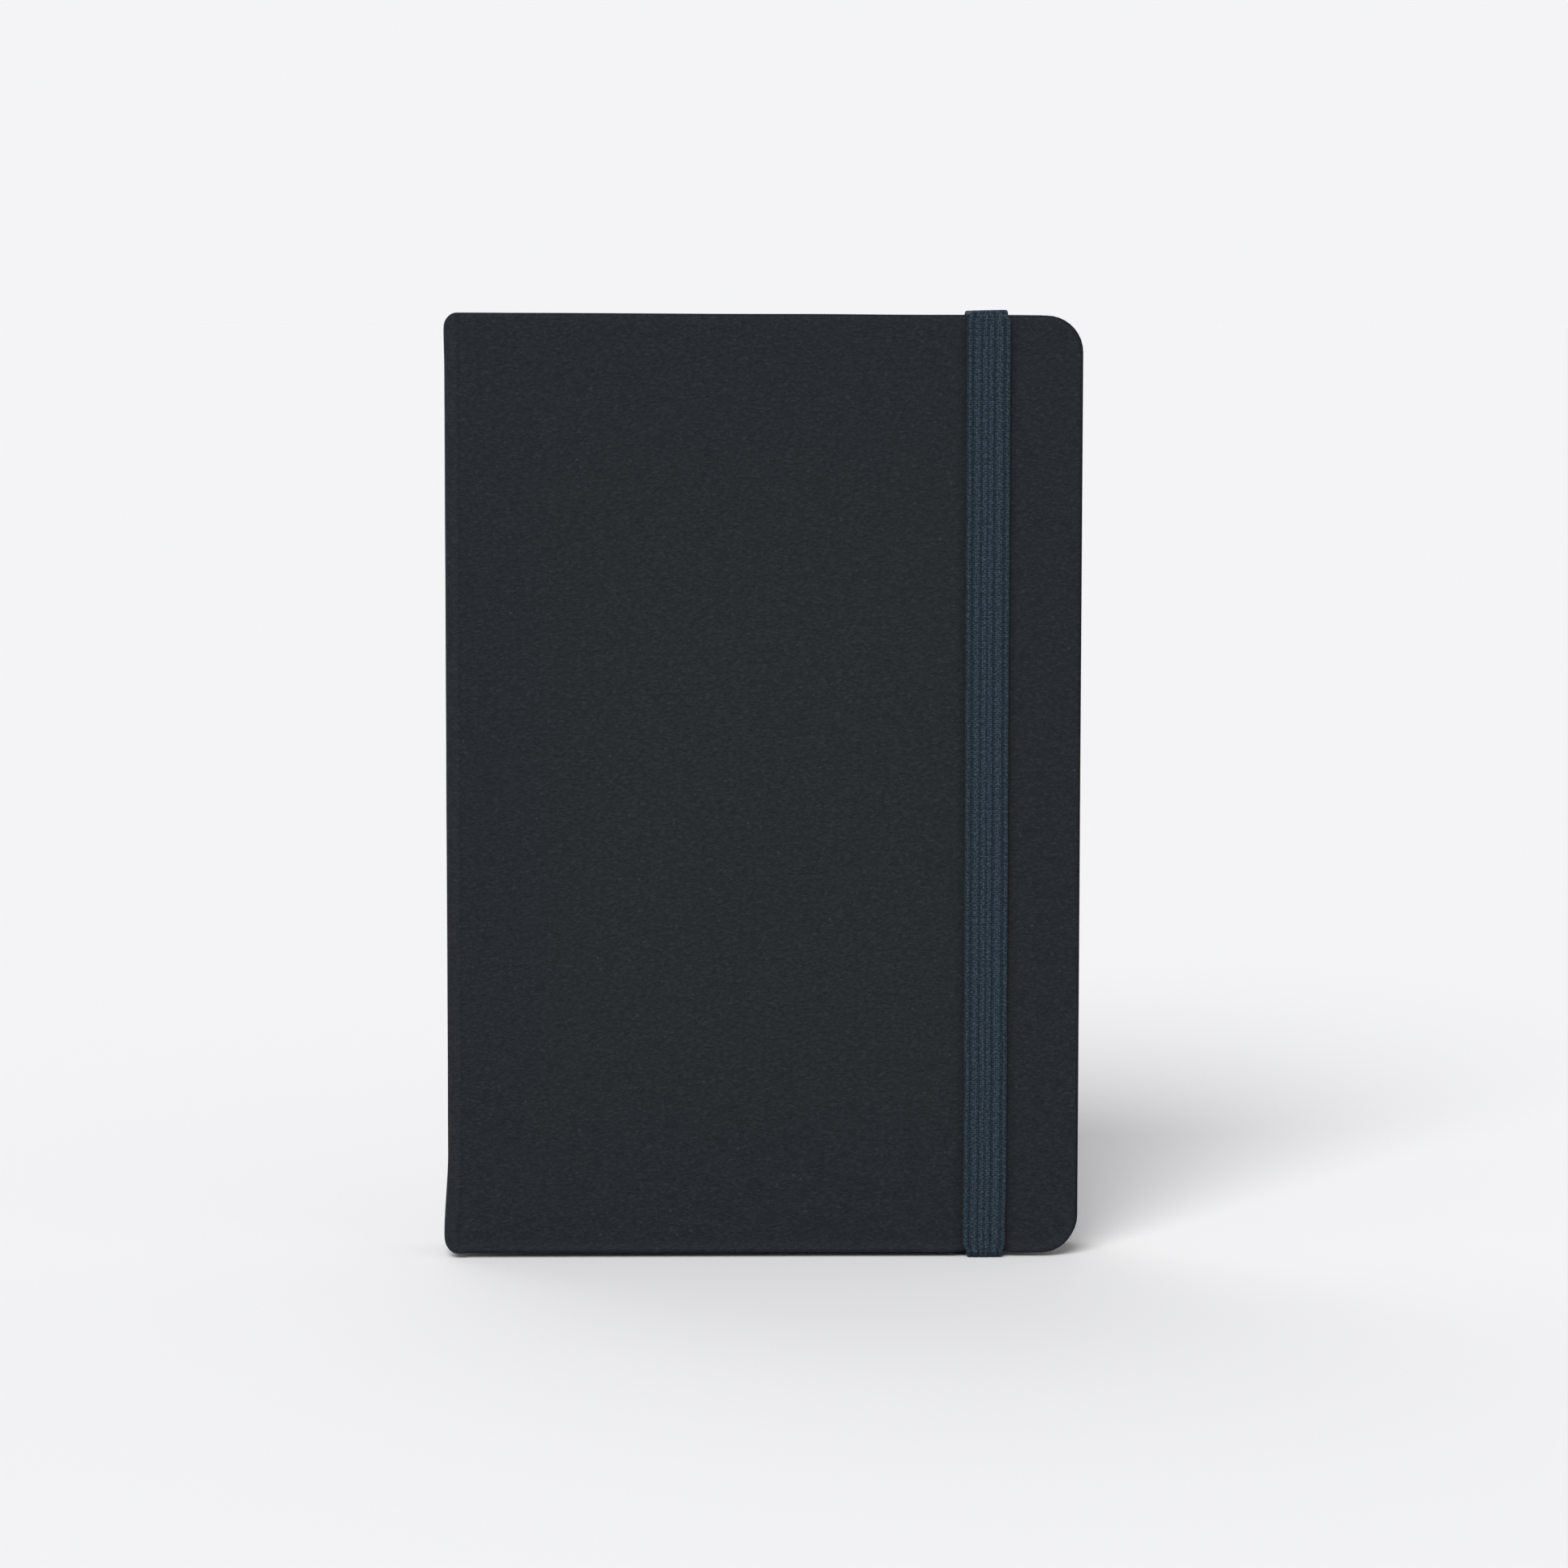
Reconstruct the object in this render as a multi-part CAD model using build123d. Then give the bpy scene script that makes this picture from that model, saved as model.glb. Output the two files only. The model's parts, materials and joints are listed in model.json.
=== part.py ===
from build123d import *
import math
import os

# Pocket notebook, hard covers, sewn block, elastic closure.
# It stands on its tail edge: +Z is the page height, -Y faces out of the
# front cover, +X points to the fore-edge. The origin is the middle of the
# footprint, at the level of the surface that it stands on.

# ---------------------------------------------------------------- sizes, mm
width = 95.0            # spine to fore-edge, over the covers
height = 141.0          # head to tail, over the covers
thick = 14.0            # over both covers, closed
band_t = 0.8            # elastic, thickness
band_w = 6.5            # elastic, width
band_x = 33.4           # elastic, centre line
band_gap = 0.08         # slack between the elastic and what it lies on

cover_t = 2.4           # one finished cover
skin_t = 0.4            # covering material
board_t = 1.6           # greyboard
lip_t = 0.2             # turned-in covering, pressed thin
lip_w = 12.0            # how far the covering is turned in
spine_t = 2.0           # finished spine strip
hinge_gap = 0.15        # clearance round each cover's joint
fore_r = 5.5            # cover corners at the fore-edge
spine_r = 1.6           # rounding of the spine's two long edges
cap_in = 3.4            # spine board stops short of the head and tail
board_in = 2.3          # and of the two faces of the covers
square = 2.5            # how far the covers stand past the pages

n_sig = 12              # sewn sections
pitch = 0.70            # section to section
sig_t = 0.60            # one section of eight leaves
fold_t = 0.36           # pressed fold
fly_t = 0.20            # flyleaf
page_r = 4.0            # page corners at the fore-edge
tip_w = 3.0             # flyleaf is tipped on this far from the fold
slot_h = 1.6            # slot in the back cover for the elastic
slot_in = 9.0           # slot centre, in from the head or tail edge

# ------------------------------------------------------------------ derived
x_spine = -width / 2
x_fore = width / 2
y_out = thick / 2
z0 = band_t + band_gap            # tail edge of the covers
z1 = z0 + height                  # head edge of the covers
half = cover_t / 2
y_hinge = y_out - half            # distance of a cover's mid-plane
x_hinge = x_spine + spine_t + hinge_gap + half
x_fold = x_hinge + 0.65           # line of the section folds
zp0 = z0 + square
zp1 = z1 - square
xp1 = x_fore - square
y_first = pitch * (n_sig - 1) / 2

os.makedirs("parts", exist_ok=True)


def block(xa, xb, ya, yb, za, zb):
    return Pos((xa + xb) / 2, (ya + yb) / 2, (za + zb) / 2) * Box(
        xb - xa, yb - ya, zb - za
    )


def leaf_outline(xa, xb, za, zb, r):
    """Flat outline in the XZ plane, its two fore-edge corners rounded."""
    c = r * (1 - math.sqrt(0.5))
    with BuildLine() as line:
        Polyline((xa, za), (xb - r, za))
        ThreePointArc((xb - r, za), (xb - c, za + c), (xb, za + r))
        Line((xb, za + r), (xb, zb - r))
        ThreePointArc((xb, zb - r), (xb - c, zb - c), (xb - r, zb))
        Polyline((xb - r, zb), (xa, zb), (xa, za))
    return make_face(line.edges())


def slab(xa, xb, za, zb, r, ya, yb):
    """Plate between y = ya and y = yb with rounded fore-edge corners."""
    face = leaf_outline(xa, xb, za, zb, r)
    return Pos(0, yb, 0) * Rot(90, 0, 0) * extrude(face, yb - ya)


def rod_z(x, y, za, zb, r):
    return Pos(x, y, (za + zb) / 2) * Cylinder(r, zb - za)


def mirror_y(shape):
    return mirror(shape, about=Plane.XZ)


def save(name, shape):
    shape.label = name
    export_step(shape, "parts/" + name + ".step")


# ------------------------------------------------------- one cover, front side
def cover_pieces(slots):
    # The covering is a tray: outer skin, edges, and a thin turned-in lip.
    ya = -y_out
    yb = -y_out + cover_t
    whole = slab(x_hinge, x_fore, z0, z1, fore_r, ya, yb) + rod_z(
        x_hinge, -y_hinge, z0, z1, half
    )
    x_b = x_hinge + 0.6
    board_pocket = slab(
        x_b, x_fore - skin_t, z0 + skin_t, z1 - skin_t,
        fore_r - skin_t, ya + skin_t, ya + skin_t + board_t,
    )
    window = slab(
        x_b + 4.0, x_fore - lip_w, z0 + lip_w, z1 - lip_w, 1.0,
        ya + skin_t + board_t, ya + skin_t + board_t + lip_t,
    )
    paste = slab(
        x_b, x_fore - 1.6, z0 + 1.6, z1 - 1.6, fore_r - 1.6,
        yb - 0.2, yb,
    )
    cuts = []
    if slots:
        for zc in (z0 + slot_in, z1 - slot_in):
            cuts.append(
                block(band_x - band_w / 2 - 0.3, band_x + band_w / 2 + 0.3,
                      ya - 1, yb - 0.2, zc - slot_h / 2, zc + slot_h / 2)
            )
    wrap = whole - board_pocket - window - paste
    board = board_pocket + window
    for c in cuts:
        wrap -= c
        board -= c
    return wrap, board, paste


front_wrap, front_board, front_paste = cover_pieces(False)
save("front_cover_wrap", front_wrap)
save("front_board", front_board)
save("front_pastedown", front_paste)

back_wrap, back_board, back_paste = [mirror_y(s) for s in cover_pieces(True)]
save("back_cover_wrap", back_wrap)
save("back_board", back_board)
save("back_pastedown", back_paste)

# ---------------------------------------------------------------- spine strip
spine_solid = block(x_spine, x_spine + spine_t, -y_out, y_out, z0, z1)
spine_solid = fillet(
    spine_solid.edges().filter_by(Axis.Z).group_by(Axis.X)[0], spine_r
)
spine_board = block(
    x_spine + skin_t, x_spine + spine_t, -y_out + board_in, y_out - board_in,
    z0 + cap_in, z1 - cap_in,
)
save("spine_wrap", spine_solid - spine_board)
save("spine_board", spine_board)

# ------------------------------------------------- lining of the block's back
lining_y = y_first + 0.3
x_lin = x_spine + spine_t + 0.4
save("spine_lining", block(x_lin, x_lin + 0.5, -lining_y, lining_y, zp0 + 2, zp1 - 2))
save("mull", block(x_lin + 0.5, x_lin + 0.8, -lining_y, lining_y, zp0 + 6, zp1 - 6))

# Sewing thread: pairs of link stitches that cross the folds of all sections.
x_thread = x_lin + 0.8 + 0.18
stations = [zp0 + (zp1 - zp0) * f for f in (0.08, 0.24, 0.42, 0.58, 0.76, 0.92)]
thread = None
for zc in stations:
    for dz in (-2.0, 2.0):
        bar = Pos(x_thread, 0, zc + dz) * Rot(90, 0, 0) * Cylinder(
            0.18, 2 * y_first
        )
        thread = bar if thread is None else thread + bar
save("sewing_thread", thread)


# Head and tail bands: a woven bead on a flat tape glued to the lining.
def end_band(z_page, z_dir):
    x_bead = x_lin + 0.9
    z_bead = z_page + z_dir * 0.75
    bead = Pos(x_bead, 0, z_bead) * Rot(90, 0, 0) * Cylinder(0.6, 2 * lining_y)
    za, zb = sorted((z_page - z_dir * 1.9, z_page + z_dir * 0.75))
    tape = block(x_lin, x_lin + 0.4, -lining_y, lining_y, za, zb)
    return bead + tape


save("headband", end_band(zp1, 1))
save("tailband", end_band(zp0, -1))


# ------------------------------------------------------------------- sections
# Each is a pressed fold, centred on its own turning line, that swells to the
# full thickness of its leaves over the next millimetre.
def section(yc):
    with BuildLine() as line:
        r = fold_t / 2
        h = sig_t / 2
        ThreePointArc((x_fold, yc + r), (x_fold - r, yc), (x_fold, yc - r))
        Polyline(
            (x_fold, yc - r), (x_fold + 0.6, yc - r), (x_fold + 1.8, yc - h),
            (xp1, yc - h), (xp1, yc + h), (x_fold + 1.8, yc + h),
            (x_fold + 0.6, yc + r), (x_fold, yc + r),
        )
    body = Pos(0, 0, zp0) * extrude(make_face(line.edges()), zp1 - zp0)
    trim = slab(x_fold - 3, xp1, zp0, zp1, page_r, yc - 2, yc + 2)
    return body & trim


for i in range(n_sig):
    save("section_%02d" % (i + 1), section(-y_first + i * pitch))

# ------------------------------------------------------------------- flyleaves
fly_y = y_first + sig_t / 2 + 0.10 + fly_t / 2


def flyleaf():
    xa = x_fold + tip_w
    plate = slab(xa, xp1, zp0, zp1, page_r, -fly_y - fly_t / 2, -fly_y + fly_t / 2)
    return plate + rod_z(xa, -fly_y, zp0, zp1, fly_t / 2)


save("front_flyleaf", flyleaf())
save("back_flyleaf", mirror_y(flyleaf()))

# ------------------------------------------------------------- elastic closure
# One stretched loop: a run down the front cover, a turn over the head edge and
# one under the tail edge, and two short returns that reach the slots in the
# back cover. Its ends are glued inside, between board and pastedown.
bx0, bx1 = band_x - band_w / 2, band_x + band_w / 2
yf0 = -y_out - band_gap - band_t      # outer face of the front run
yf1 = -y_out - band_gap
yb0 = y_out + band_gap
yb1 = y_out + band_gap + band_t
save("elastic_front", block(bx0, bx1, yf0, yf1, 0, z1 + band_gap + band_t))
back_len = slot_in + slot_h / 2
over = block(bx0, bx1, yf1, yb1, z1 + band_gap, z1 + band_gap + band_t)
under = block(bx0, bx1, yf1, yb1, 0, band_t)
ret_h = block(bx0, bx1, yb0, yb1, z1 - back_len, z1 + band_gap)
ret_t = block(bx0, bx1, yb0, yb1, band_t, z0 + back_len)
save("elastic_head", over + ret_h)
save("elastic_tail", under + ret_t)


# The glued ends: a plug of elastic in each slot.
def anchor(zc):
    return block(bx0, bx1, y_out - cover_t + 0.2, y_out, zc - 0.6, zc + 0.6)


save("elastic_anchor_head", anchor(z1 - slot_in))
save("elastic_anchor_tail", anchor(z0 + slot_in))

print("hinge line x %.3f y %.3f" % (x_hinge, y_hinge))
print("fold line x %.3f first y %.3f pitch %.3f" % (x_fold, -y_first, pitch))
print("flyleaf line x %.3f y %.3f" % (x_fold + tip_w, -fly_y))
print("covers z %.3f to %.3f, pages z %.3f to %.3f" % (z0, z1, zp0, zp1))
print("elastic turns about x %.3f y %.3f" % (band_x, yb0 + band_t / 2))
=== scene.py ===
import bpy
import bmesh
import json
import math
import random
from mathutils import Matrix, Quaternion, Vector, noise


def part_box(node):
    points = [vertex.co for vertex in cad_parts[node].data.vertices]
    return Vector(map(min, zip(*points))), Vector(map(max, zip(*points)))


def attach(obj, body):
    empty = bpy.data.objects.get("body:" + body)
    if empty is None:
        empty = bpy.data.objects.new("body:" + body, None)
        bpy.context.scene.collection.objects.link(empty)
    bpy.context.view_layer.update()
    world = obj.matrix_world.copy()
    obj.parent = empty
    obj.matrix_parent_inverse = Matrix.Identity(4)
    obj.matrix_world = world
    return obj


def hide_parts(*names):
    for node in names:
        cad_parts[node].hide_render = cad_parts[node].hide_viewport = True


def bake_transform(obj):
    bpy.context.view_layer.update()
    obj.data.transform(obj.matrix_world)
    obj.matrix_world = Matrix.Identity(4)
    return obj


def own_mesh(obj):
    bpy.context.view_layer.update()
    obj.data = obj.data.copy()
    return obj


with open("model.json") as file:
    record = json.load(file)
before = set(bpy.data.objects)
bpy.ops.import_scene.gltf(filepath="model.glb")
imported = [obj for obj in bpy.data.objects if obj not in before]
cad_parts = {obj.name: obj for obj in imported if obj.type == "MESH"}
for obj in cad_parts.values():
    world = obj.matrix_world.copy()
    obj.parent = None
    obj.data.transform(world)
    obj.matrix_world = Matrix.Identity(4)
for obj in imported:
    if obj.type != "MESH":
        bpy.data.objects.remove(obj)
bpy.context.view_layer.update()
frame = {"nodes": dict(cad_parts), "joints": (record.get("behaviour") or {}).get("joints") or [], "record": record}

random.seed(7)
MM = 0.001

# ------------------------------------------------------------------ positions
fw_lo, fw_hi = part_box("front_cover_wrap")
sp_lo, sp_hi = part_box("spine_wrap")
bd_lo, bd_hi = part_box("elastic_front")
X0 = sp_lo.x                     # outside of the spine
X1 = fw_hi.x                     # fore-edge of the covers
YO = -fw_lo.y                    # outside of the front cover
COVER_T = fw_hi.y - fw_lo.y
SPINE_T = sp_hi.x - sp_lo.x
Z0, Z1 = fw_lo.z, fw_hi.z
BAND_X = (bd_lo.x + bd_hi.x) / 2
BAND_W = bd_hi.x - bd_lo.x
BAND_T = bd_hi.y - bd_lo.y
BAND_GAP = -YO - bd_hi.y
BAND_TOP = bd_hi.z
joint = {j["name"]: j for j in frame["joints"]}


# ------------------------------------------------------------------- camera
def setup_camera():
    az, el, roll = math.radians(-1.4), math.radians(5.4), math.radians(0.08)
    dist = 0.75
    away = Vector((math.sin(az) * math.cos(el), -math.cos(az) * math.cos(el), math.sin(el)))
    right = Vector((math.cos(az), math.sin(az), 0.0))
    up = right.cross(-away).normalized()
    centre = Vector(((X0 + X1) / 2, -YO, (Z0 + Z1) / 2))
    aim = centre + right * 3.06 * MM + up * 0.42 * MM
    cam = bpy.data.objects.new("camera", bpy.data.cameras.new("camera"))
    bpy.context.scene.collection.objects.link(cam)
    cam.data.sensor_width = 36.0
    cam.data.lens = 36.0 * dist / 0.2344
    cam.data.clip_start, cam.data.clip_end = 0.05, 50.0
    cam.location = aim + away * dist
    cam.rotation_mode = "QUATERNION"
    cam.rotation_quaternion = (-away).to_track_quat("-Z", "Y") @ Quaternion((0, 0, 1), roll)
    bpy.context.scene.camera = cam


setup_camera()


# ------------------------------------------------------------ mesh and helpers
def make_object(name, verts, faces, smooth=True, recalc=True):
    me = bpy.data.meshes.new(name)
    me.from_pydata([tuple(v) for v in verts], [], faces)
    me.validate()
    bm = bmesh.new()
    bm.from_mesh(me)
    if recalc:
        bmesh.ops.recalc_face_normals(bm, faces=bm.faces)
    for f in bm.faces:
        f.smooth = smooth
    bm.to_mesh(me)
    bm.free()
    ob = bpy.data.objects.new(name, me)
    bpy.context.scene.collection.objects.link(ob)
    return ob


def set_float(ob, name, values):
    a = ob.data.attributes.new(name, "FLOAT", "POINT")
    a.data.foreach_set("value", [float(v) for v in values])


def smooth_step(a, b, v):
    t = min(1.0, max(0.0, (v - a) / (b - a)))
    return t * t * (3 - 2 * t)


# ----------------------------------------------------------------- materials
class Mat:
    """A principled material and short calls that add nodes to it."""

    def __init__(self, name, rough=0.6, **sockets):
        self.m = bpy.data.materials.new(name)
        self.m.use_nodes = True
        self.t = self.m.node_tree
        self.bsdf = self.t.nodes["Principled BSDF"]
        self.bsdf.inputs["Roughness"].default_value = rough
        for k, v in sockets.items():
            self.bsdf.inputs[k.replace("_", " ")].default_value = v

    def node(self, kind, **props):
        n = self.t.nodes.new(kind)
        for k, v in props.items():
            setattr(n, k, v)
        return n

    def link(self, a, b):
        self.t.links.new(a, b)

    def coords(self):
        return self.node("ShaderNodeTexCoord").outputs["Object"]

    def scaled(self, source, scale):
        n = self.node("ShaderNodeMapping")
        n.inputs["Scale"].default_value = scale
        self.link(source, n.inputs["Vector"])
        return n.outputs["Vector"]

    def noise(self, source, scale, detail=3.0, rough=0.5, distort=0.0):
        n = self.node("ShaderNodeTexNoise")
        n.inputs["Scale"].default_value = scale
        n.inputs["Detail"].default_value = detail
        n.inputs["Roughness"].default_value = rough
        n.inputs["Distortion"].default_value = distort
        self.link(source, n.inputs["Vector"])
        return n.outputs["Fac"]

    def voronoi(self, source, scale, feature="F1", out="Distance", rand=1.0):
        n = self.node("ShaderNodeTexVoronoi", feature=feature)
        n.inputs["Scale"].default_value = scale
        n.inputs["Randomness"].default_value = rand
        self.link(source, n.inputs["Vector"])
        return n.outputs[out]

    def math(self, op, a, b=None, c=None, clamp=False):
        n = self.node("ShaderNodeMath", operation=op, use_clamp=clamp)
        for i, v in enumerate((a, b, c)):
            if v is None:
                continue
            if isinstance(v, (int, float)):
                n.inputs[i].default_value = v
            else:
                self.link(v, n.inputs[i])
        return n.outputs[0]

    def ramp(self, source, stops):
        n = self.node("ShaderNodeValToRGB")
        cr = n.color_ramp
        while len(cr.elements) < len(stops):
            cr.elements.new(0.5)
        for e, (p, c) in zip(cr.elements, stops):
            e.position = p
            e.color = (*c, 1.0) if len(c) == 3 else c
        self.link(source, n.inputs["Fac"])
        return n.outputs["Color"]

    def mix(self, fac, a, b, blend="MIX"):
        n = self.node("ShaderNodeMix", data_type="RGBA", blend_type=blend)
        for sock, v in ((n.inputs[0], fac), (n.inputs[6], a), (n.inputs[7], b)):
            if isinstance(v, (int, float)):
                sock.default_value = v
            elif isinstance(v, tuple):
                sock.default_value = (*v, 1.0)
            else:
                self.link(v, sock)
        return n.outputs[2]

    def attribute(self, name):
        n = self.node("ShaderNodeAttribute", attribute_name=name)
        return n.outputs["Fac"]

    def map_range(self, source, a, b, c, d):
        n = self.node("ShaderNodeMapRange")
        for i, v in zip((1, 2, 3, 4), (a, b, c, d)):
            n.inputs[i].default_value = v
        self.link(source, n.inputs[0])
        return n.outputs[0]

    def bump(self, height, distance, strength=1.0, normal=None):
        n = self.node("ShaderNodeBump")
        n.inputs["Strength"].default_value = strength
        n.inputs["Distance"].default_value = distance
        self.link(height, n.inputs["Height"])
        if normal is not None:
            self.link(normal, n.inputs["Normal"])
        return n.outputs["Normal"]

    def to(self, socket, value):
        self.link(value, self.bsdf.inputs[socket])


def leather_material():
    m = Mat("leatherette_charcoal", 0.7, Specular_IOR_Level=0.07)
    co = m.coords()
    # short wavy fibres of the grain, wider than they are high, with fine pores between
    warp = m.noise(co, 420.0, 2.0)
    warped = m.node("ShaderNodeVectorMath", operation="MULTIPLY_ADD")
    m.link(warp, warped.inputs[0])
    warped.inputs[1].default_value = (0.0007, 0.0002, 0.0008)
    m.link(co, warped.inputs[2])
    fibre = m.noise(m.scaled(warped.outputs[0], (1.0, 1.0, 1.9)), 1450.0, 3.0, 0.66, 0.9)
    cells = m.voronoi(m.scaled(warped.outputs[0], (1.0, 1.0, 1.5)), 1350.0, "SMOOTH_F1")
    crease = m.voronoi(m.scaled(warped.outputs[0], (1.0, 1.0, 1.4)), 620.0, "DISTANCE_TO_EDGE")
    crease_s = m.map_range(crease, 0.0, 0.14, 0.0, 1.0)
    pores = m.noise(co, 5200.0, 2.0, 0.6)
    tone = m.noise(co, 26.0, 4.0, 0.55)
    mottled = m.noise(co, 420.0, 3.0, 0.6)
    base = m.ramp(tone, [(0.30, (0.0092, 0.0119, 0.0137)), (0.70, (0.0103, 0.0131, 0.0148))])
    # painted shade: the face is darker and a little bluer towards its margins, leaving its middle lighter
    place = m.node("ShaderNodeSeparateXYZ")
    m.link(co, place.inputs[0])
    far_x = m.math("ABSOLUTE", m.math("DIVIDE", place.outputs[0], (X1 - X0) / 2))
    far_z = m.math("ABSOLUTE", m.math("DIVIDE", m.math("SUBTRACT", place.outputs[2], (Z0 + Z1) / 2), (Z1 - Z0) / 2))
    painted_margin_shade = m.math("ADD", m.math("MAXIMUM", far_x, far_z), m.math("MULTIPLY_ADD", tone, 0.5, -0.25))
    base = m.mix(m.map_range(painted_margin_shade, 0.40, 1.0, 0.0, 0.80), base, (0.0086, 0.0102, 0.0132))
    base = m.mix(m.map_range(mottled, 0.35, 0.70, 0.0, 0.25), base, (0.0070, 0.0090, 0.0111))
    base = m.mix(m.map_range(fibre, 0.56, 0.36, 0.0, 0.62), base, (0.0046, 0.0059, 0.0075))
    base = m.mix(m.map_range(fibre, 0.52, 0.70, 0.0, 0.64), base, (0.0162, 0.0191, 0.0224))
    base = m.mix(m.map_range(crease_s, 0.35, 0.0, 0.0, 0.30), base, (0.0052, 0.0065, 0.0086))
    # pale specks in the grain
    specks = m.voronoi(co, 330.0, "F1")
    base = m.mix(m.map_range(specks, 0.085, 0.045, 0.0, 0.45), base, (0.0279, 0.0292, 0.0329))
    # edges are rubbed a little lighter and smoother; along the tail edge and over the spine's rounded strip the
    # lighter colour is a painted highlight
    edge = m.attribute("edge")
    patchy_wear_and_highlight = m.math("MULTIPLY", edge, m.map_range(m.noise(co, 700.0, 3.0), 0.35, 0.7, 0.35, 1.0))
    base = m.mix(m.math("MULTIPLY", patchy_wear_and_highlight, 0.55), base, (0.0168, 0.0190, 0.0234))
    # painted shade on the rounded edges where they turn away from the face
    base = m.mix(m.math("MULTIPLY", m.attribute("painted_rim_shade"), 0.85), base, (0.0022, 0.0026, 0.0033))
    # painted shadow of the elastic: darker under it and just beside it on the front cover
    across = m.node("ShaderNodeSeparateXYZ")
    m.link(co, across.inputs[0])
    off = m.math("ABSOLUTE", m.math("SUBTRACT", across.outputs[0], BAND_X))
    on_front = m.map_range(across.outputs[1], -1.0 * MM, -3.0 * MM, 0.0, 1.0)
    painted_band_shadow = m.math("MULTIPLY", on_front, m.map_range(off, BAND_W / 2 + 1.5 * MM, BAND_W / 2 - 0.1 * MM, 0.0, 0.42))
    base = m.mix(painted_band_shadow, base, (0.0030, 0.0036, 0.0046))
    m.to("Base Color", base)
    rough = m.map_range(mottled, 0.3, 0.7, 0.62, 0.76)
    rough = m.math("SUBTRACT", rough, m.math("MULTIPLY", patchy_wear_and_highlight, 0.08))
    m.to("Roughness", rough)
    n0 = m.bump(fibre, 0.00022, 0.75)
    n1 = m.bump(cells, 0.00012, 0.45, n0)
    n2 = m.bump(crease_s, 0.00005, 0.5, n1)
    n3 = m.bump(pores, 0.000018, 0.6, n2)
    m.to("Normal", n3)
    return m.m


def elastic_material():
    m = Mat("elastic_woven_slate", 0.85, Specular_IOR_Level=0.08, Sheen_Weight=0.05, Sheen_Roughness=0.45)
    m.bsdf.inputs["Sheen Tint"].default_value = (0.55, 0.70, 0.90, 1.0)
    uv = m.node("ShaderNodeUVMap", uv_map="band")
    sep = m.node("ShaderNodeSeparateXYZ")
    m.link(uv.outputs["UV"], sep.inputs[0])
    u, v = sep.outputs[0], sep.outputs[1]        # both in millimetres
    jitter = m.noise(m.scaled(uv.outputs["UV"], (1.3, 1.1, 1.0)), 1.0, 3.0)
    # knitted loops: slanting stitches that change direction from column to column
    tri = m.math("ABSOLUTE", m.math("SUBTRACT", m.math("FRACT", m.math("DIVIDE", u, 0.96)), 0.5))
    phase = m.math("ADD", m.math("DIVIDE", v, 0.56), m.math("MULTIPLY", tri, 1.5))
    phase = m.math("ADD", phase, m.math("MULTIPLY", jitter, 1.5))
    loops = m.math("MULTIPLY_ADD", m.math("SINE", m.math("MULTIPLY", phase, 2 * math.pi)), 0.5, 0.5)
    # cross threads and the yarns that run the length of the band
    cross = m.math("MULTIPLY_ADD", m.math("SINE", m.math("ADD", m.math("MULTIPLY", v, 2 * math.pi / 0.33),
                   m.math("MULTIPLY", jitter, 5.0))), 0.5, 0.5)
    yarn = m.math("MULTIPLY_ADD", m.math("COSINE", m.math("MULTIPLY", u, 2 * math.pi / 0.35)), 0.5, 0.5)
    weave = m.math("ADD", m.math("MULTIPLY", loops, 0.42), m.math("MULTIPLY", yarn, 0.26))
    weave = m.math("ADD", weave, m.math("MULTIPLY", cross, 0.32))
    # painted shade: the band is darker in its grooves and towards its rounded edges, lighter on the rib crests
    rib_groove_shade = m.attribute("rib_groove_shade")
    fibre = m.noise(m.scaled(uv.outputs["UV"], (3.0, 1.9, 1.0)), 1.0, 4.0, 0.78)
    light = m.math("ADD", m.math("MULTIPLY", rib_groove_shade, 0.22), m.math("MULTIPLY", weave, 0.42))
    light = m.math("ADD", light, m.math("MULTIPLY_ADD", fibre, 1.55, -0.445))
    base = m.ramp(light, [(0.42, (0.0040, 0.0068, 0.0100)), (0.72, (0.0094, 0.0156, 0.0224)),
                          (0.95, (0.0250, 0.0380, 0.0520))])
    m.to("Base Color", base)
    m.to("Roughness", m.map_range(weave, 0.0, 1.0, 0.92, 0.74))
    n1 = m.bump(weave, 0.00010, 0.8)
    n2 = m.bump(fibre, 0.00006, 0.6, n1)
    m.to("Normal", n2)
    return m.m


def paper_material(name, low, high, rough=0.85, edge=False):
    m = Mat(name, rough, Specular_IOR_Level=0.2)
    co = m.coords()
    cloud = m.noise(co, 120.0, 4.0, 0.6)
    fibres = m.noise(m.scaled(co, (1.0, 3.0, 0.35)), 2600.0, 3.0, 0.65)
    base = m.ramp(m.math("ADD", m.math("MULTIPLY", cloud, 0.6), m.math("MULTIPLY", fibres, 0.4)),
                  [(0.35, low), (0.65, high)])
    if edge:
        trim = m.attribute("trim")
        base = m.mix(m.math("MULTIPLY", trim, 0.45), base, tuple(c * 0.72 for c in low))
    m.to("Base Color", base)
    m.to("Roughness", m.map_range(cloud, 0.3, 0.7, rough - 0.05, rough + 0.06))
    m.to("Normal", m.bump(fibres, 0.00002, 0.5))
    return m.m


def board_material():
    m = Mat("greyboard", 0.92, Specular_IOR_Level=0.15)
    co = m.coords()
    fleck = m.noise(co, 900.0, 5.0, 0.75)
    m.to("Base Color", m.ramp(fleck, [(0.30, (0.19, 0.18, 0.165)), (0.55, (0.33, 0.32, 0.30)), (0.75, (0.42, 0.41, 0.38))]))
    m.to("Normal", m.bump(fleck, 0.00005, 0.6))
    return m.m


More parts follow.
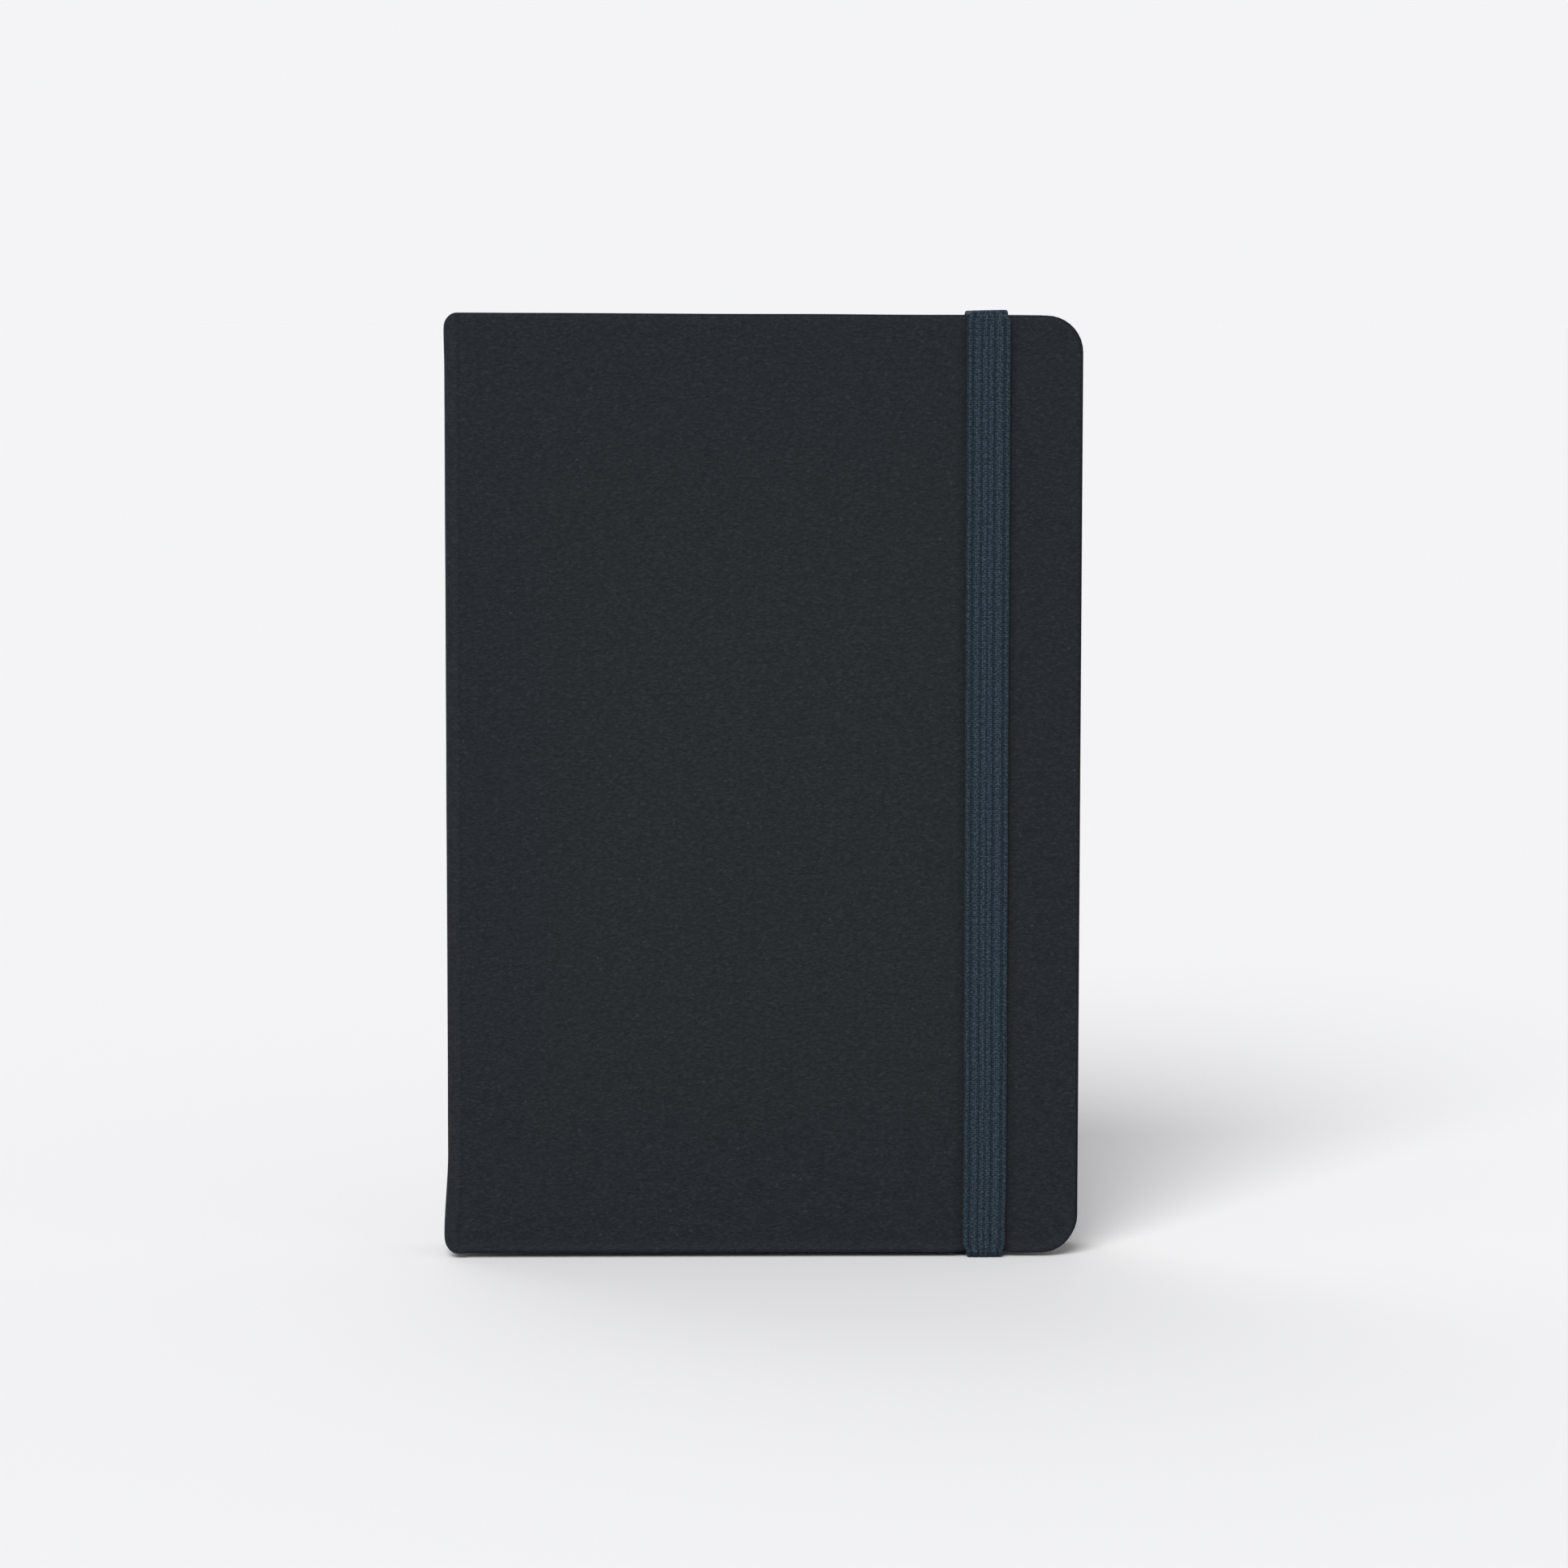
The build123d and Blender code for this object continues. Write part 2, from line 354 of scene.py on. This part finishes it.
def cloth_material(name, dark, light, pitch_mm, rough=0.85):
    """Plain weave in object space; pitch in millimetres."""
    m = Mat(name, rough, Specular_IOR_Level=0.2, Sheen_Weight=0.2)
    co = m.coords()
    sep = m.node("ShaderNodeSeparateXYZ")
    m.link(co, sep.inputs[0])
    k = 2 * math.pi / (pitch_mm * MM)
    a = m.math("SINE", m.math("MULTIPLY", sep.outputs[1], k))
    b = m.math("SINE", m.math("MULTIPLY", sep.outputs[2], k))
    weave = m.math("MULTIPLY_ADD", m.math("MULTIPLY", a, b), 0.5, 0.5)
    fuzz = m.noise(co, 3000.0, 3.0, 0.6)
    mixed = m.math("ADD", m.math("MULTIPLY", weave, 0.65), m.math("MULTIPLY", fuzz, 0.35))
    m.to("Base Color", m.ramp(mixed, [(0.25, dark), (0.75, light)]))
    m.to("Normal", m.bump(mixed, 0.00008, 0.8))
    return m.m


def end_band_material():
    """Wrapped bead: dark and light threads in turn across the block's back."""
    m = Mat("end_band_threads", 0.8, Specular_IOR_Level=0.12, Sheen_Weight=0.08)
    co = m.coords()
    sep = m.node("ShaderNodeSeparateXYZ")
    m.link(co, sep.inputs[0])
    slant = m.math("ADD", sep.outputs[1], m.math("MULTIPLY", sep.outputs[0], 0.35))
    wave = m.math("MULTIPLY_ADD", m.math("SINE", m.math("MULTIPLY", slant, 2 * math.pi / 0.0011)), 0.5, 0.5)
    thread = m.math("MULTIPLY_ADD", m.math("SINE", m.math("MULTIPLY", slant, 2 * math.pi / 0.000275)), 0.5, 0.5)
    m.to("Base Color", m.ramp(wave, [(0.45, (0.020, 0.028, 0.038)), (0.55, (0.055, 0.075, 0.10))]))
    m.to("Normal", m.bump(thread, 0.00006, 0.9))
    return m.m


MAT = {
    "covering": leather_material(),
    "elastic": elastic_material(),
    "pages": paper_material("paper_ivory", (0.60, 0.56, 0.465), (0.68, 0.64, 0.54), edge=True),
    "endpaper": paper_material("endpaper_cream", (0.57, 0.525, 0.42), (0.64, 0.595, 0.49), 0.8),
    "greyboard": board_material(),
    "lining": paper_material("kraft_lining", (0.33, 0.25, 0.16), (0.42, 0.33, 0.22), 0.88),
    "mull": cloth_material("mull_gauze", (0.38, 0.35, 0.29), (0.74, 0.71, 0.63), 0.8),
    "thread": cloth_material("waxed_thread", (0.55, 0.52, 0.45), (0.80, 0.77, 0.70), 0.35, 0.6),
    "end_band": end_band_material(),
}
for sub in frame["record"]["subparts"]:
    ob = frame["nodes"][sub["node"]]
    mat = MAT[sub["material_slot"]]
    if ob.material_slots:
        for s in ob.material_slots:
            s.material = mat
    else:
        ob.data.materials.append(mat)


# ------------------------------------------------------- covering, one half
# The section runs from the middle of the spine, round its long edge and over
# the cover to the fore-edge. s is the distance along it, d the depth inwards.
RHO = 2.0 * MM                       # rounding of the spine's long edge
FLAT = YO - RHO                      # half of the spine's flat face
ARC = RHO * math.pi / 2
S_ARC = FLAT
S_FACE = FLAT + ARC
S_END = S_FACE + (X1 - (X0 + RHO))
CORNER = 5.5 * MM
CAP = 2.1 * MM                       # the spine's head and tail curl in by this


def section_at(s):
    """Point on the outer surface and the inward direction, in XY, front half."""
    if s <= S_ARC:
        return (X0, -s), (1.0, 0.0)
    if s < S_FACE:
        a = (s - S_ARC) / RHO
        cx, cy = X0 + RHO, -FLAT
        return (cx - RHO * math.cos(a), cy - RHO * math.sin(a)), (math.cos(a), math.sin(a))
    return (X0 + RHO + (s - S_FACE), -YO), (0.0, 1.0)


def thickness(s):
    (x, y), _ = section_at(s)
    if s <= S_FACE:
        return MM * (2.03 - 0.23 * smooth_step(FLAT - 0.35 * MM, FLAT, s) - 1.25 * smooth_step(FLAT - 0.1 * MM, FLAT + 0.75 * MM, s))
    return MM * (0.55 + 1.80 * smooth_step(X0 + 2.55 * MM, X0 + 3.75 * MM, x))


def dip(s):
    """How far the head and tail edges drop towards the spine."""
    if s >= S_FACE:
        return 0.0
    (x, y), _ = section_at(s)
    t = (X0 + RHO - x) / RHO
    return CAP * (1 - math.sqrt(max(0.0, 1 - min(1.0, t) ** 2)))


def columns():
    out = []
    n = 7
    out += [FLAT * i / n for i in range(n)]
    n = 12
    out += [S_ARC + ARC * (i / n) for i in range(n)]
    s = S_FACE
    while s < S_FACE + 3.2 * MM:
        out.append(s)
        s += 0.16 * MM
    last = S_END - CORNER
    n = 62
    start = s
    out += [start + (last - start) * i / n for i in range(n)]
    return out


def leather_half(name, side):
    """side -1 is the front cover, +1 the back one."""
    cols = columns()
    corner_angles = [math.radians(90 * k / 9) for k in range(10)]
    r_of = lambda s: min(0.75 * MM, 0.45 * thickness(s))
    ri_of = lambda s: min(0.40 * MM, 0.40 * thickness(s))
    # boundary stations at the tail: base point and outward direction
    tail = [((s, Z0 + dip(s)), (0.0, -1.0)) for s in cols]
    tail += [((S_END - CORNER + CORNER * math.sin(a), Z0 + CORNER - CORNER * math.cos(a)),
              (math.sin(a), -math.cos(a))) for a in corner_angles]
    head = [((q[0], Z0 + Z1 - q[1]), (n[0], -n[1])) for q, n in tail]
    ncol = len(tail)
    NV = 104
    fr = []
    for j in range(NV + 1):
        t = j / NV
        fr.append(t)
    inset = lambda q, n, r: (q[0] - n[0] * r, q[1] - n[1] * r)
    verts, rubbed_edge_and_highlight_w, painted_rim_shade_w = [], [], []

    def place(s, z, d, outer):
        (x, y), (nx, ny) = section_at(min(s, S_END))
        # crease beside the spine and slow hand-made unevenness of the face
        if outer > 0.0:
            groove = 0.11 * MM * math.exp(-(((s - (S_FACE + 0.45 * MM)) / (0.38 * MM)) ** 2))
            swell = 0.035 * MM * noise.noise(Vector((s * 38, z * 38, 3.1 + side)))
            swell += 0.015 * MM * noise.noise(Vector((s * 160, z * 160, 7.7 + side)))
            inner_pad = smooth_step(0.0, 4 * MM, S_END - s)
            d = d + outer * (groove + swell * inner_pad)
        px, py = x + nx * d, y + ny * d
        # tail and head of the spine flare slightly, as a bumped corner does
        near_tail = 1 - smooth_step(2.0 * MM, 15 * MM, z - Z0)
        near_head = 1 - smooth_step(1.5 * MM, 9 * MM, Z1 - z)
        back = 1 - smooth_step(S_ARC, S_FACE + 12 * MM, s)
        px -= back * (0.62 * MM * near_tail + 0.10 * MM * near_head - 0.05 * MM)
        zz = z + 0.07 * MM * noise.noise(Vector((s * 55, 1.3 if z > (Z0 + Z1) / 2 else 8.8, side))) * smooth_step(
            (Z1 - Z0) * 0.46, (Z1 - Z0) * 0.5, abs(z - (Z0 + Z1) / 2)) * (1.0 if z > (Z0 + Z1) / 2 else 0.4)
        # the head edge runs a touch out of square, lower at the fore-edge
        run = min(1.0, max(0.0, (px - X0) / (X1 - X0)))
        up = (z - Z0) / (Z1 - Z0)
        zz -= run * (0.27 * MM * up ** 3 + 0.07 * MM * (1 - up) ** 3)
        zz -= (0.13 + 0.12 * smooth_step(0.5, 1.0, run)) * MM * (1 - smooth_step(0.0, 3.0 * MM, z - Z0)) * smooth_step(
            BAND_W / 2, BAND_W / 2 + 1.4 * MM, abs(px - BAND_X))
        return Vector((px, py if side < 0 else -py, zz))

    def add(v, w, painted_rim_shade=0.0):
        verts.append(v)
        rubbed_edge_and_highlight_w.append(w)
        painted_rim_shade_w.append(painted_rim_shade)
        return len(verts) - 1

    outer, inner = [], []
    for i in range(ncol):
        q, n = tail[i]
        qh, nh = head[i]
        s_here = q[0]
        a = inset(q, n, r_of(s_here))
        b = inset(qh, nh, r_of(s_here))
        col = []
        for j in range(NV + 1):
            z = a[1] + (b[1] - a[1]) * fr[j]
            near = min(z - a[1], b[1] - z, S_END - a[0])
            # edge weight: rubbed wear on every edge, raised near the tail and over the spine's rounded strip as a
            # painted highlight
            w = (1 - smooth_step(0.0, 1.4 * MM, near)) * (0.75 if z < Z0 + 8 * MM else 0.12)
            w = max(w, 0.42 * smooth_step(S_ARC, S_ARC + 1.2 * MM, s_here) * (1 - smooth_step(S_FACE - 0.3 * MM, S_FACE + 0.3 * MM, s_here)))
            col.append(add(place(a[0], z, 0.0, 1.0), w))
        outer.append(col)
    for i in range(ncol):
        q, n = tail[i]
        qh, nh = head[i]
        s_here = q[0]
        a = inset(q, n, ri_of(s_here))
        b = inset(qh, nh, ri_of(s_here))
        inner.append([add(place(a[0], a[1] + (b[1] - a[1]) * fr[j], thickness(s_here), 0.0), 0.3)
                      for j in range(NV + 1)])
    # boundary list: tail edge, fore-edge column, head edge
    border = []
    for i in range(ncol):
        border.append((tail[i][0], tail[i][1], outer[i][0], inner[i][0]))
    za, zb = tail[-1][0][1], head[-1][0][1]
    for j in range(1, NV):
        border.append(((S_END, za + (zb - za) * fr[j]), (1.0, 0.0), outer[-1][j], inner[-1][j]))
    for i in range(ncol - 1, -1, -1):
        border.append((head[i][0], head[i][1], outer[i][NV], inner[i][NV]))
    steps_o = [math.radians(90 * k / 6) for k in range(1, 7)]
    steps_i = [math.radians(90 * k / 4) for k in range(0, 4)]
    rings = []
    for q, n, vo, vi in border:
        s_here = q[0]
        T = thickness(s_here)
        ro, ri = r_of(s_here), ri_of(s_here)
        ring = [vo]
        for a in steps_o:
            p = inset(q, n, ro * (1 - math.sin(a)))
            # the second weight is painted shade on the turned-away part of each rounding, beginning further round at
            # the tail
            low = 1.0 if q[1] < (Z0 + Z1) / 2 and n[1] < -0.5 else 0.0
            ring.append(add(place(p[0], p[1], ro * (1 - math.cos(a)), 1 - math.sin(a)),
                            0.75 * low if a < 1.0 else 0.15, smooth_step(0.5 + 0.5 * low, 1.1 + 0.3 * low, a)))
        for a in steps_i:
            p = inset(q, n, ri * (1 - math.cos(a)))
            ring.append(add(place(p[0], p[1], T - ri + ri * math.sin(a), 0.0), 0.3, 0.5))
        ring.append(vi)
        rings.append(ring)
    faces = []
    for i in range(ncol - 1):
        for j in range(NV):
            faces.append((outer[i][j], outer[i + 1][j], outer[i + 1][j + 1], outer[i][j + 1]))
            faces.append((inner[i][j], inner[i][j + 1], inner[i + 1][j + 1], inner[i + 1][j]))
    for a, b in zip(rings, rings[1:]):
        for k in range(len(a) - 1):
            faces.append((a[k], b[k], b[k + 1], a[k + 1]))
    cap = outer[0][:] + rings[-1][1:-1] + inner[0][::-1] + rings[0][1:-1][::-1]
    faces.append(tuple(cap))
    ob = make_object(name, verts, faces)
    # the halves meet at the middle of the spine, and the cut face there stays out of the shading
    bm = bmesh.new()
    bm.from_mesh(ob.data)
    for f in bm.faces:
        if len(f.verts) > 20:
            f.smooth = False
            for e in f.edges:
                e.smooth = False
    bm.to_mesh(ob.data)
    bm.free()
    set_float(ob, "edge", rubbed_edge_and_highlight_w)
    set_float(ob, "painted_rim_shade", painted_rim_shade_w)
    ob.data.materials.append(MAT["covering"])
    return ob


pivot = {"front": joint["front_cover_open"]["pos_m"], "back": joint["back_cover_open"]["pos_m"]}
front = leather_half("cover_leather_front", -1)
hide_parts("front_cover_wrap", "spine_wrap")
back = leather_half("cover_leather_back", 1)
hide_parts("back_cover_wrap")
for ob, body, y in ((front, "front_cover", -YO), (back, "back_cover", YO)):
    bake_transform(ob)


# ------------------------------------------------------------ elastic closure
def rounded_path(points, radii, step):
    """Polyline in the YZ plane with its corners rounded: samples of point, tangent and length."""
    pts = [Vector(p) for p in points]
    out = []

    def run(a, b):
        n = max(1, int((b - a).length / step))
        for k in range(n):
            out.append((a.lerp(b, k / n), (b - a).normalized()))

    cur = pts[0]
    for i in range(1, len(pts) - 1):
        p, r = pts[i], radii[i - 1]
        d0 = (p - pts[i - 1]).normalized()
        d1 = (pts[i + 1] - p).normalized()
        turn = d0.angle(d1)
        cut = r * math.tan(turn / 2)
        a, b = p - d0 * cut, p + d1 * cut
        run(cur, a)
        centre = a + (d1 - d0 * d0.dot(d1)).normalized() * r
        n = 10
        for k in range(n + 1):
            ang = turn * k / n
            u = (a - centre)
            q = centre + u * math.cos(ang) + d0 * r * math.sin(ang)
            t = d0 * math.cos(ang) - u.normalized() * math.sin(ang)
            if k < n:
                out.append((q, t.normalized()))
        cur = b
    run(cur, pts[-1])
    out.append((pts[-1], (pts[-1] - cur).normalized()))
    res, length = [], 0.0
    for k, (p, t) in enumerate(out):
        if k:
            length += (p - out[k - 1][0]).length
        res.append((p, t, length))
    return res


def elastic_band():
    yb = YO + BAND_GAP
    zh, zt = Z1 + BAND_GAP - 0.25 * MM, BAND_T
    slot_in = 9.0 * MM
    path = rounded_path(
        [(yb - 1.6 * MM, Z1 - slot_in), (yb + 0.02 * MM, Z1 - slot_in), (yb, zh), (-yb, zh), (-yb, zt), (yb, zt),
         (yb + 0.02 * MM, Z0 + slot_in), (yb - 1.6 * MM, Z0 + slot_in)],
        [0.5 * MM, 0.35 * MM, 0.35 * MM, 0.35 * MM, 0.35 * MM, 0.5 * MM], 0.5 * MM)
    # six ribs of uneven width; the grooves beside the two edges are the deepest
    grooves = [(-2.34, 0.27, 0.08), (-1.06, 0.20, 0.06), (-0.10, 0.12, 0.05), (0.88, 0.22, 0.08), (2.34, 0.25, 0.09)]
    half = BAND_W / 2
    top = []
    NT = 84
    for k in range(NT + 1):
        w = -half + BAND_W * k / NT
        e = min(1.0, (half - abs(w)) / (0.45 * MM))
        shoulder = math.sqrt(max(0.0, 1 - (1 - e) ** 2))
        cut = [math.exp(-(((w / MM - c) / hw) ** 2)) for c, hw, _ in grooves]
        c = 1.0 - max(cut)
        fine = 0.012 * MM * math.cos(2 * math.pi * (w + half) / (BAND_W / 20))
        h = (BAND_T - 0.02 * MM) * (0.30 + 0.70 * shoulder) - MM * sum(q * g[2] for q, g in zip(cut, grooves)) + (fine - 0.012 * MM) * shoulder
        # the third value sets the painted shade for the colour: lower in the grooves and over the rounded edges
        top.append((w, h, c * shoulder))
    bottom = [(w, 0.0, 0.0) for w in [half - BAND_W * k / 16 for k in range(17)]]
    prof = top + bottom
    n = len(prof)
    verts, rib_groove_shade_w, uvs = [], [], []
    total = path[-1][2]
    for p, t, length in path:
        # outward: the path runs up the back, forwards over the head, down the front
        out_dir = Vector((t.y, -t.x))
        at_head = p.y > 0.07
        near_edge = 1 - smooth_step(0.05 * MM, (0.8 if at_head else 1.3) * MM, min(abs(p.y - zh), abs(p.y - zt)))
        wide = 1.0 - (0.13 if at_head else 0.17) * near_edge
        wob = 0.10 * MM * noise.noise(Vector((0.0, 0.0, length * 90)))
        wide *= 1.0 + 0.012 * noise.noise(Vector((5.0, 0.0, length * 140)))
        inner = 0.0
        if length < 1.6 * MM or total - length < 1.6 * MM:
            inner = -0.25 * MM
        for w, h, c in prof:
            knit = 0.0
            if h > 0.25 * MM:        # stitches stand up and sink a little
                knit = 0.022 * MM * noise.noise(Vector((w * 2200, length * 1500, 4.0))) * (1 - near_edge)
            if at_head:              # thinner and slightly aslant where it is drawn over the head edge
                h = h * (1 - 0.16 * near_edge) + 0.022 * w * near_edge
            q = p + out_dir * (h + inner + knit)
            verts.append(Vector((BAND_X + w * wide + wob * (1 - near_edge), q.x, q.y)))
            rib_groove_shade_w.append(c)
            uvs.append(((w + half) / MM, length / MM))
    faces = []
    m = len(path)
    for i in range(m - 1):
        for k in range(n):
            a, b = i * n + k, i * n + (k + 1) % n
            faces.append((a, b, b + n, a + n))
    faces.append(tuple(range(n)))
    faces.append(tuple(range((m - 1) * n, m * n)))
    ob = make_object("elastic_loop", verts, faces)
    set_float(ob, "rib_groove_shade", rib_groove_shade_w)
    layer = ob.data.uv_layers.new(name="band")
    for loop in ob.data.loops:
        layer.data[loop.index].uv = uvs[loop.vertex_index]
    ob.data.materials.append(MAT["elastic"])
    return ob


band = elastic_band()
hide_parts("elastic_front", "elastic_head", "elastic_tail")
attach(band, "elastic_band")
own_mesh(band)


# ------------------------------------------------------------------ the leaves
def leaf(verts, faces, trim, xa, xb, za, zb, r, y_of, half_of):
    """One sheet from xa to xb with rounded fore-edge corners; y_of and half_of give its middle and half thickness along x."""
    xs = [xa, xa + 0.55 * MM, xa + 1.1 * MM, xa + 1.8 * MM, xa + 6 * MM, (xa + xb) / 2]
    rows = [(x, za, zb) for x in xs]
    for k in range(0, 8):
        a = math.radians(90 * k / 7)
        x = xb - r + r * math.sin(a)
        rows.append((x, za + r - r * math.cos(a), zb - r + r * math.cos(a)))
    start = len(verts)
    for k, (x, z_lo, z_hi) in enumerate(rows):
        y, h = y_of(x), half_of(x)
        for yy in (y - h, y + h):
            for z in (z_lo, z_hi):
                verts.append(Vector((x, yy, z)))
                trim.append(0.0)
    for k in range(len(rows) - 1):
        a = start + 4 * k
        b = a + 4
        faces.append((a, a + 1, b + 1, b))
        faces.append((a + 2, b + 2, b + 3, a + 3))
        faces.append((a, b, b + 2, a + 2))
        faces.append((a + 1, a + 3, b + 3, b + 1))
    faces.append((start, start + 2, start + 3, start + 1))
    e = start + 4 * (len(rows) - 1)
    faces.append((e, e + 1, e + 3, e + 2))


def leaves(i):
    node = "section_%02d" % i
    lo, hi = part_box(node)
    yc = (lo.y + hi.y) / 2
    xf = joint["leaves_%02d_turn" % i]["pos_m"][0]
    rnd = random.Random(100 + i)
    verts, faces, trim = [], [], []
    body_h = (hi.y - lo.y) / 2
    fold_h = 0.18 * MM
    creep = 0.0
    for j in range(8):
        k = (j - 3.5) / 4.0

        def y_of(x, k=k):
            t = smooth_step(xf + 0.6 * MM, xf + 1.8 * MM, x)
            return yc + k * (fold_h + (body_h - fold_h) * t)

        def half_of(x):
            t = smooth_step(xf + 0.6 * MM, xf + 1.8 * MM, x)
            return (0.036 + 0.026 * t) * MM / 2 * 0.95

        jig = rnd.uniform(-0.05, 0.0) * MM
        sheet = min(j, 7 - j)
        x_end = hi.x - 0.02 * MM - (3 - sheet) * 0.035 * MM + jig
        dz0, dz1 = rnd.uniform(0, 0.07) * MM, rnd.uniform(0, 0.07) * MM
        leaf(verts, faces, trim, xf - 0.06 * MM, x_end, lo.z + dz0, hi.z - dz1, 4.0 * MM, y_of, half_of)
    # the pressed fold that holds them
    n = 10
    start = len(verts)
    for z in (lo.z + 0.05 * MM, hi.z - 0.05 * MM):
        for k in range(n + 1):
            a = math.pi / 2 + math.pi * k / n
            verts.append(Vector((xf + 0.0 * MM + 0.165 * MM * math.cos(a), yc + 0.165 * MM * math.sin(a), z)))
            trim.append(0.0)
    for k in range(n):
        faces.append((start + k, start + k + 1, start + n + 1 + k + 1, start + n + 1 + k))
    faces.append((start, start + n + 1, start + 2 * n + 1, start + n))
    faces.append(tuple(start + k for k in range(n + 1)))
    faces.append(tuple(start + n + 1 + k for k in range(n, -1, -1)))
    ob = make_object("leaves_of_" + node, verts, faces, smooth=False)
    set_float(ob, "trim", trim)
    ob.data.materials.append(MAT["pages"])
    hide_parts(node)
    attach(ob, "leaves_%02d" % i)
    return ob


for i in range(1, 13):
    leaves(i)


# --------------------------------------------------------------------- stage
BACKDROP = (0.905, 0.905, 0.920)    # radiance of the background and of the open floor
DOME = (0.22, 0.50, 0.54)           # sine of the elevations between which the dome darkens, and how far down to
SUNS = (("key", -16, 38, 32, 4.6), ("overhead", -160, 50, 44, 0.75))   # azimuth, elevation, softness, strength


def dome_on_floor():
    """Irradiance of the floor from a dome of radiance 1 that darkens upwards."""
    n, total = 400, 0.0
    for i in range(n):
        z = (i + 0.5) / n
        t = min(1.0, max(0.0, (z - DOME[0]) / (DOME[1] - DOME[0])))
        total += (1 + (DOME[2] - 1) * t) * z / n
    return 2 * math.pi * total


down = sum(power * math.sin(math.radians(el)) for _, _, el, _, power in SUNS)
FLOOR = [c * math.pi / (c * dome_on_floor() + down) for c in BACKDROP]    # as light as the background


def stage():
    n, size = 40, 90.0
    verts, faces = [], []
    for i in range(n + 1):
        for j in range(n + 1):
            verts.append(Vector((size * (i / n - 0.5), size * (j / n - 0.5), 0.0)))
    for i in range(n):
        for j in range(n):
            a = i * (n + 1) + j
            faces.append((a, a + n + 1, a + n + 2, a + 1))
    ob = make_object("studio_floor", verts, faces)
    for f in ob.data.polygons:
        if f.normal.z < 0:
            f.flip()
    m = bpy.data.materials.new("studio_paper")
    m.use_nodes = True
    b = m.node_tree.nodes["Principled BSDF"]
    b.inputs["Base Color"].default_value = (*FLOOR, 1)
    b.inputs["Roughness"].default_value = 0.95
    b.inputs["Specular IOR Level"].default_value = 0.0
    ob.data.materials.append(m)


stage()
for name, az, el, soft, power in SUNS:
    a, e = math.radians(az), math.radians(el)
    away = Vector((math.sin(a) * math.cos(e), -math.cos(a) * math.cos(e), math.sin(e)))
    light = bpy.data.lights.new(name, "SUN")
    light.energy = power
    light.angle = math.radians(soft)
    ob = bpy.data.objects.new(name, light)
    ob.rotation_mode = "QUATERNION"
    ob.rotation_quaternion = (-away).to_track_quat("-Z", "Y")
    ob.location = away * 3
    bpy.context.scene.collection.objects.link(ob)

world = bpy.data.worlds.new("studio")
bpy.context.scene.world = world
world.use_nodes = True
bg = world.node_tree.nodes["Background"]
bg.inputs[0].default_value = (*BACKDROP, 1)
where = world.node_tree.nodes.new("ShaderNodeTexCoord")
height = world.node_tree.nodes.new("ShaderNodeSeparateXYZ")
fade = world.node_tree.nodes.new("ShaderNodeMapRange")
for i, v in zip((1, 2, 3, 4), (DOME[0], DOME[1], 1.0, DOME[2])):
    fade.inputs[i].default_value = v
world.node_tree.links.new(where.outputs["Generated"], height.inputs[0])
world.node_tree.links.new(height.outputs[2], fade.inputs[0])
world.node_tree.links.new(fade.outputs[0], bg.inputs[1])
bpy.context.scene.view_settings.view_transform = "Standard"
bpy.context.scene.view_settings.look = "None"
bpy.context.scene.view_settings.exposure = 0.0
